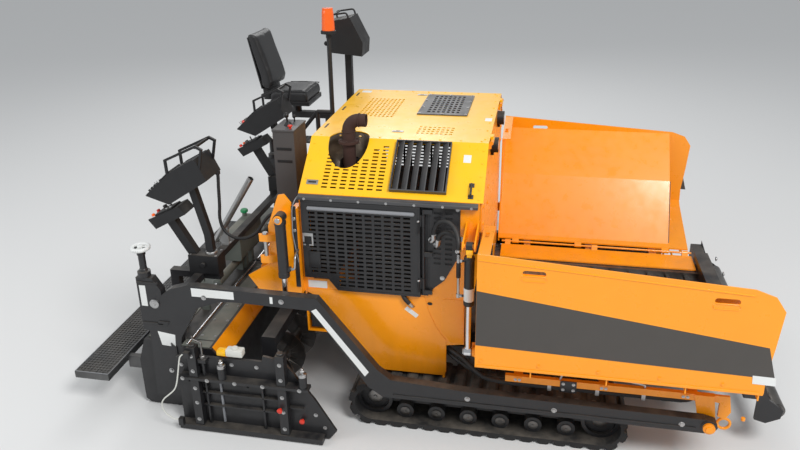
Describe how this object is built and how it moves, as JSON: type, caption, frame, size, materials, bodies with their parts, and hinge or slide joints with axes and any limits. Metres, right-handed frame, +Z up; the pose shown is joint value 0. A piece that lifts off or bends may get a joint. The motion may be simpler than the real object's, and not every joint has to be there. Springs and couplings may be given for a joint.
{
  "type": "asphalt paver",
  "caption": "Tracked asphalt paver: folding hopper wings, slat conveyor, hinged engine hood, tow arms with a lifting screed, sliding extensions and an operator's seat.",
  "frame": {"origin": "on the ground, midway between the walkway's rear edge and the push rollers' front, on the machine's middle plane", "axes": "+X forward, +Y to the machine's left, +Z up"},
  "size_m": [4.92, 2.981, 2.65],
  "materials": {
    "orange_paint": "gloss orange enamel, dusty",
    "yellow_paint": "gloss yellow enamel",
    "grey_paint": "satin dark grey",
    "black_paint": "satin black, worn and dusty",
    "hose_rubber": "black hose rubber",
    "cable_white": "white cable sheath",
    "tank_grey": "dusty grey-green paint",
    "zinc_plated": "zinc plated",
    "console_black": "textured black",
    "cabinet_grey": "satin dark grey",
    "rod_chrome": "ground and plated",
    "worn_steel": "polished by wear, tar in the corners",
    "tread_steel": "expanded sheet, worn edges",
    "rusty_pipe": "rust brown scale",
    "track_rubber": "dusty rubber pads",
    "engine_iron": "sooty casting",
    "amber_lens": "amber lens",
    "seat_vinyl": "black grained vinyl"
  },
  "bodies": {
    "chassis": {"frame": "orange_paint", "chassis_rails": "black_paint", "bulkhead": "orange_paint", "engine_block": "engine_iron", "exhaust": "rusty_pipe", "vent_plates": "black_paint", "lift_towers": "orange_paint", "track_right": "track_rubber", "track_left": "track_rubber", "track_frames": "black_paint", "conveyor": "worn_steel", "hopper_frame": "orange_paint", "push_beam": "black_paint", "auger_frame": "black_paint", "operator_deck": "black_paint", "control_cabinet": "cabinet_grey", "driver_console": "console_black", "beacon": "amber_lens", "console_conduit": "hose_rubber", "cylinder_hoses": "hose_rubber", "sill_hoses": "hose_rubber", "hose_clips": "zinc_plated"},
    "hood": {"hood_shell": "yellow_paint", "hood_grilles": "grey_paint"},
    "screed": {"tow_arms": "black_paint", "main_screed": "black_paint", "depth_cranks": "black_paint", "screed_consoles": "console_black", "walkway": "tread_steel", "screed_tank": "tank_grey", "screed_cylinders": "tank_grey", "pole_socket": "zinc_plated"},
    "seat": {"seat_frame": "black_paint", "seat_cushion": "seat_vinyl"},
    "lift_barrel_right": {"lift_barrel_right": "black_paint"},
    "lift_rod_right": {"lift_rod_right": "rod_chrome"},
    "lift_barrel_left": {"lift_barrel_left": "black_paint"},
    "lift_rod_left": {"lift_rod_left": "rod_chrome"},
    "wing_right": {"wing_right": "orange_paint"},
    "wing_barrel_right": {"wing_barrel_right": "black_paint"},
    "wing_rod_right": {"wing_rod_right": "rod_chrome"},
    "wing_left": {"wing_left": "orange_paint"},
    "wing_barrel_left": {"wing_barrel_left": "black_paint"},
    "wing_rod_left": {"wing_rod_left": "rod_chrome"},
    "engine_door_right": {"engine_door_right": "black_paint"},
    "extension_right": {"extension_right": "black_paint", "end_gate_right": "black_paint", "gate_cable": "cable_white"},
    "auger_right": {"auger_right": "worn_steel"},
    "push_roller_right": {"push_roller_right": "worn_steel"},
    "engine_door_left": {"engine_door_left": "black_paint"},
    "extension_left": {"extension_left": "black_paint", "end_gate_left": "black_paint"},
    "auger_left": {"auger_left": "worn_steel"},
    "push_roller_left": {"push_roller_left": "worn_steel"}
  },
  "joints": [
    {"name": "hood_lift", "type": "hinge", "parent": "chassis", "child": "hood", "pos_m": [0.466, 0, 1.945], "axis": [0, 1, 0], "range_deg": [0, 40]},
    {"name": "screed_lift", "type": "hinge", "parent": "chassis", "child": "screed", "pos_m": [1.92, 0, 0.372], "axis": [0, 1, 0], "range_deg": [0, 2.5]},
    {"name": "lift_cylinder_swing_right", "type": "hinge", "parent": "chassis", "child": "lift_barrel_right", "pos_m": [-0.849, -1.19, 1.569], "axis": [0, -1, 0], "range_deg": [0, 3.72]},
    {"name": "lift_rod_slide_right", "type": "slide", "parent": "lift_barrel_right", "child": "lift_rod_right", "axis": [0, 0, 1], "range_m": [0, 0.11884]},
    {"name": "lift_cylinder_swing_left", "type": "hinge", "parent": "chassis", "child": "lift_barrel_left", "pos_m": [-0.849, 1.19, 1.569], "axis": [0, -1, 0], "range_deg": [0, 3.72]},
    {"name": "lift_rod_slide_left", "type": "slide", "parent": "lift_barrel_left", "child": "lift_rod_left", "axis": [0, 0, 1], "range_m": [0, 0.11884]},
    {"name": "wing_fold_right", "type": "hinge", "parent": "chassis", "child": "wing_right", "pos_m": [0, -0.82, 0.56], "axis": [-1, 0, 0], "range_deg": [0, 45]},
    {"name": "wing_cylinder_swing_right", "type": "hinge", "parent": "chassis", "child": "wing_barrel_right", "pos_m": [0.396, -1.25, 1.49], "axis": [1, 0, 0], "range_deg": [0, 25.95]},
    {"name": "wing_rod_slide_right", "type": "slide", "parent": "wing_barrel_right", "child": "wing_rod_right", "axis": [0, 0, 1], "range_m": [0, 0.19754]},
    {"name": "wing_fold_left", "type": "hinge", "parent": "chassis", "child": "wing_left", "pos_m": [0, 0.82, 0.56], "axis": [1, 0, 0], "range_deg": [0, 45]},
    {"name": "wing_cylinder_swing_left", "type": "hinge", "parent": "chassis", "child": "wing_barrel_left", "pos_m": [0.396, 1.25, 1.49], "axis": [-1, 0, 0], "range_deg": [0, 25.95]},
    {"name": "wing_rod_slide_left", "type": "slide", "parent": "wing_barrel_left", "child": "wing_rod_left", "axis": [0, 0, 1], "range_m": [0, 0.19754]},
    {"name": "engine_door_swing_right", "type": "hinge", "parent": "chassis", "child": "engine_door_right", "pos_m": [0.075, -1.059, 0], "axis": [0, 0, 1], "range_deg": [0, 100]},
    {"name": "extension_slide_right", "type": "slide", "parent": "screed", "child": "extension_right", "axis": [0, -1, 0], "range_m": [0, 1.05]},
    {"name": "auger_spin_right", "type": "hinge", "parent": "chassis", "child": "auger_right", "pos_m": [-1.01, 0, 0.29], "axis": [0, 1, 0], "continuous": true},
    {"name": "push_roller_spin_right", "type": "hinge", "parent": "chassis", "child": "push_roller_right", "pos_m": [2.405, 0, 0.32], "axis": [0, 1, 0], "continuous": true},
    {"name": "engine_door_swing_left", "type": "hinge", "parent": "chassis", "child": "engine_door_left", "pos_m": [0.075, 1.059, 0], "axis": [0, 0, -1], "range_deg": [0, 100]},
    {"name": "extension_slide_left", "type": "slide", "parent": "screed", "child": "extension_left", "axis": [0, 1, 0], "range_m": [0, 1.05]},
    {"name": "auger_spin_left", "type": "hinge", "parent": "chassis", "child": "auger_left", "pos_m": [-1.01, 0, 0.29], "axis": [0, 1, 0], "continuous": true},
    {"name": "push_roller_spin_left", "type": "hinge", "parent": "chassis", "child": "push_roller_left", "pos_m": [2.405, 0, 0.32], "axis": [0, 1, 0], "continuous": true},
    {"name": "seat_swivel", "type": "hinge", "parent": "chassis", "child": "seat", "pos_m": [-1.54, 1.255, 0], "axis": [0, 0, 1], "range_deg": [-30, 30]}
  ],
  "couplings": [
    {"joint": "lift_cylinder_swing_right", "follows": "screed_lift", "ratio": 1.4885},
    {"joint": "lift_rod_slide_right", "follows": "screed_lift", "m_per_rad": 2.7236},
    {"joint": "lift_cylinder_swing_left", "follows": "screed_lift", "ratio": 1.4885},
    {"joint": "lift_rod_slide_left", "follows": "screed_lift", "m_per_rad": 2.7236},
    {"joint": "wing_cylinder_swing_right", "follows": "wing_fold_right", "ratio": 0.57674},
    {"joint": "wing_rod_slide_right", "follows": "wing_fold_right", "m_per_rad": 0.25152},
    {"joint": "wing_cylinder_swing_left", "follows": "wing_fold_left", "ratio": 0.57674},
    {"joint": "wing_rod_slide_left", "follows": "wing_fold_left", "m_per_rad": 0.25152}
  ]
}
